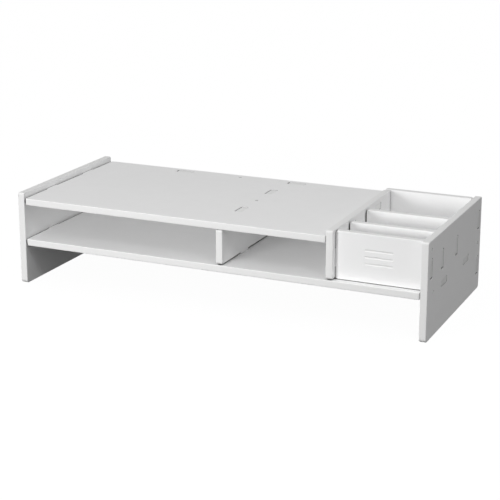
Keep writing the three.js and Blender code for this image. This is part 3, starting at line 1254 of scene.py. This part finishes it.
class RISER_OT_back_board(BuildsPiece, Operator):
    """Build the board that closes the back"""

    bl_idname = "riser.back_board"
    bl_label = "Back Board"

    def execute(self, context):
        make_board("back_board", "rear_board")
        return {"FINISHED"}


class RISER_OT_nails(BuildsPiece, Operator):
    """Build the nails that pin the boards"""

    bl_idname = "riser.nails"
    bl_label = "Nails"

    def execute(self, context):
        sizes = context.scene.riser.nails
        for node in NAILS:
            place, whole = nail_place(node)
            head, rim = sizes.head_radius, sizes.head_rim
            neck = -sizes.head_height
            bm = turned(
                [
                    (0, -whole),
                    (sizes.shank_radius, sizes.point_length - whole),
                    (sizes.shank_radius, neck - sizes.neck_height),
                    (head, neck),
                    (head, -rim),
                    (head - rim * RIM_BULGE, -rim * RIM_BULGE),
                    (head - rim, 0),
                    (0, 0),
                ],
                sizes.steps,
            )
            bm.transform(place)
            piece = to_object(bm, node.replace("nail_", "wire_nail_"))
            soften(piece, NAIL_SHARP_ANGLE)
            finish_piece(piece, steel_material(), node)
        return {"FINISHED"}


def point_along(holder, way, place):
    """Points a lamp's or a camera's view along a direction, from a place."""
    holder.rotation_mode = "QUATERNION"
    holder.rotation_quaternion = way.to_track_quat("-Z", "Y")
    holder.location = place


def add_soft_lamp(scene, name, power, place):
    """A square soft lamp that points at what the camera points at."""
    stage = scene.riser.stage
    lamp = bpy.data.lights.new(name, "AREA")
    lamp.shape = "SQUARE"
    lamp.size = stage.lamp_size
    lamp.energy = power
    holder = bpy.data.objects.new(name, lamp)
    holder.visible_camera = False
    holder.visible_glossy = False
    scene.collection.objects.link(holder)
    point_along(holder, Vector(stage.camera_aim) - place, place)


class RISER_OT_stage(BuildsPiece, Operator):
    """Build the floor, the soft light, the white surroundings and the camera"""

    bl_idname = "riser.stage"
    bl_label = "Stage"

    def execute(self, context):
        scene = context.scene
        stage = scene.riser.stage
        bm = bmesh.new()
        bmesh.ops.create_grid(bm, x_segments=1, y_segments=1, size=stage.floor_width / 2)
        floor = to_object(bm, "floor")
        floor.data.materials.append(floor_material())

        world = bpy.data.worlds.new("white_surroundings")
        world.use_nodes = True
        tree = world.node_tree
        tree.nodes.clear()
        way = tree.nodes.new("ShaderNodeTexCoord").outputs["Generated"]
        front = one_sided(tree, way, -BACKWARD, stage.front_level)
        above = one_sided(tree, way, UPWARD, stage.top_level)
        lit = math_node(tree, "ADD", math_node(tree, "ADD", front, above), stage.even_level)
        strength = math_node(tree, "MAXIMUM", seen_directly(tree), lit)
        sky = add_node(tree, "ShaderNodeBackground", {"Color": (1, 1, 1, 1)}, Strength=strength)
        add_node(tree, "ShaderNodeOutputWorld", Surface=sky.outputs[0])
        scene.world = world

        add_soft_lamp(scene, "key_light", stage.key_power, Vector(stage.key_place))
        add_soft_lamp(scene, "side_light", stage.side_power, Vector(stage.side_place))

        camera = bpy.data.objects.new("camera", bpy.data.cameras.new("camera"))
        camera.data.lens = stage.camera_lens
        camera.data.shift_y = stage.camera_shift
        camera.data.clip_start = NEAREST_SEEN
        scene.collection.objects.link(camera)
        place = Vector(stage.camera_place)
        point_along(camera, Vector(stage.camera_aim) - place, place)
        scene.camera = camera
        scene.view_settings.view_transform = "Standard"
        scene.cycles.max_bounces = LIGHT_BOUNCES
        scene.cycles.diffuse_bounces = MATT_BOUNCES
        return {"FINISHED"}


class RiserSettings(PropertyGroup):
    """All the settings of the riser and its stage."""

    boards: PointerProperty(type=RiserBoardSizes)
    grooves: PointerProperty(type=RiserGrooveSizes)
    nails: PointerProperty(type=RiserNailSizes)
    finish: PointerProperty(type=RiserFinish)
    stage: PointerProperty(type=RiserStage)


OPERATORS = (
    RISER_OT_side_panels,
    RISER_OT_top_panel,
    RISER_OT_lower_shelf,
    RISER_OT_middle_divider,
    RISER_OT_box_wall,
    RISER_OT_box_front,
    RISER_OT_box_dividers,
    RISER_OT_back_board,
    RISER_OT_nails,
    RISER_OT_stage,
)


class RISER_PT_sidebar(Panel):
    """Lists what the riser is made of"""

    bl_idname = "RISER_PT_sidebar"
    bl_label = "Monitor Riser"
    bl_space_type = "VIEW_3D"
    bl_region_type = "UI"
    bl_category = "Riser"

    def draw(self, context):
        for operator in OPERATORS:
            self.layout.operator(operator.bl_idname)
        settings = context.scene.riser
        for label in ("boards", "grooves", "nails", "finish", "stage"):
            group = getattr(settings, label)
            column = self.layout.box().column()
            column.label(text=label.capitalize())
            for name in group.bl_rna.properties.keys():
                if name not in ("rna_type", "name"):
                    column.prop(group, name)


CLASSES = (
    RiserBoardSizes,
    RiserGrooveSizes,
    RiserNailSizes,
    RiserFinish,
    RiserStage,
    RiserSettings,
    *OPERATORS,
    RISER_PT_sidebar,
)


def register():
    for made in CLASSES:
        bpy.utils.register_class(made)
    bpy.types.Scene.riser = PointerProperty(type=RiserSettings)


def unregister():
    del bpy.types.Scene.riser
    for made in reversed(CLASSES):
        bpy.utils.unregister_class(made)


def main():
    register()
    for operator in OPERATORS:
        family, action = operator.bl_idname.split(".")
        getattr(getattr(bpy.ops, family), action)()


if __name__ == "__main__":
    main()
